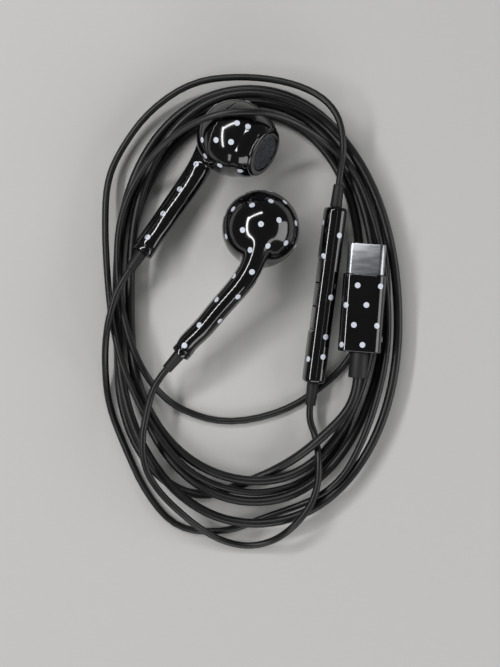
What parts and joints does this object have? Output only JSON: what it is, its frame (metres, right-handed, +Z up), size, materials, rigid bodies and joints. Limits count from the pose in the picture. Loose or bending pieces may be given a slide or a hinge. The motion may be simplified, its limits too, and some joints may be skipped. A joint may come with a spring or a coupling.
{
  "type": "wired earphones",
  "caption": "In-ear wired earphones with stem-shaped buds, an in-line key remote, a cord splitter and a reversible-connector plug, lying in a loose coil of thin cord.",
  "frame": {"origin": "on the surface that the part lies on, under the middle of the buds and the remote taken together", "axes": "+Y the long way of the coil, towards the left bud; +Z up from the surface; +X towards the plug"},
  "size_m": [0.0664, 0.1047, 0.0181],
  "materials": {
    "gloss_black_shell": "moulded ABS, gloss lacquered",
    "satin_elastomer": "moulded elastomer, satin",
    "cord_elastomer": "extruded elastomer jacket, matte",
    "woven_mesh": "fine woven wire, blackened",
    "moulded_plastic": "moulded, plain",
    "plated_steel": "nickel plated",
    "plug_steel": "stainless steel, fine brushed",
    "gold_plate": "gold plated contacts",
    "copper_wire": "enamelled copper wire",
    "diaphragm_film": "thin film",
    "felt_paper": "pressed fibre",
    "circuit_board": "glass fibre laminate",
    "chip_resin": "moulded resin"
  },
  "bodies": {
    "earphones": {"crimp_collar": "moulded_plastic", "left_boot": "satin_elastomer", "left_cable_anchor": "moulded_plastic", "left_damping_felt": "felt_paper", "left_diaphragm": "diaphragm_film", "left_driver_frame": "moulded_plastic", "left_front_shell": "gloss_black_shell", "left_grille": "woven_mesh", "left_lead": "cord_elastomer", "left_magnet": "plated_steel", "left_rear_shell": "gloss_black_shell", "left_stem_cap": "gloss_black_shell", "left_voice_coil": "copper_wire", "left_yoke": "plated_steel", "main_cord_coil": "cord_elastomer", "microphone": "plated_steel", "microphone_mesh": "woven_mesh", "plug_board": "circuit_board", "plug_boot": "satin_elastomer", "plug_chip": "chip_resin", "plug_contact_carrier": "moulded_plastic", "plug_contacts": "gold_plate", "plug_housing": "gloss_black_shell", "plug_latches": "plated_steel", "plug_lead": "cord_elastomer", "plug_metal_shell": "plug_steel", "remote_board": "circuit_board", "remote_chip": "chip_resin", "remote_front_cover": "gloss_black_shell", "remote_lead": "cord_elastomer", "remote_lower_boot": "satin_elastomer", "remote_rear_cover": "gloss_black_shell", "remote_switches": "plated_steel", "remote_upper_boot": "satin_elastomer", "right_boot": "satin_elastomer", "right_cable_anchor": "moulded_plastic", "right_damping_felt": "felt_paper", "right_diaphragm": "diaphragm_film", "right_driver_frame": "moulded_plastic", "right_front_shell": "gloss_black_shell", "right_grille": "woven_mesh", "right_lead": "cord_elastomer", "right_magnet": "plated_steel", "right_rear_shell": "gloss_black_shell", "right_stem_cap": "gloss_black_shell", "right_voice_coil": "copper_wire", "right_yoke": "plated_steel", "y_split": "satin_elastomer"},
    "volume_up_button": {"volume_up_button": "gloss_black_shell"},
    "play_button": {"play_button": "gloss_black_shell"},
    "volume_down_button": {"volume_down_button": "gloss_black_shell"}
  },
  "joints": [
    {"name": "volume_up_press", "type": "slide", "parent": "earphones", "child": "volume_up_button", "axis": [0.9638, -0.1128, -0.2417], "range_m": [0, 0.00025], "stiffness_N_per_m": 2000, "springref_m": -0.0002},
    {"name": "play_press", "type": "slide", "parent": "earphones", "child": "play_button", "axis": [0.9638, -0.1128, -0.2417], "range_m": [0, 0.00025], "stiffness_N_per_m": 2000, "springref_m": -0.0002},
    {"name": "volume_down_press", "type": "slide", "parent": "earphones", "child": "volume_down_button", "axis": [0.9638, -0.1128, -0.2417], "range_m": [0, 0.00025], "stiffness_N_per_m": 2000, "springref_m": -0.0002}
  ]
}
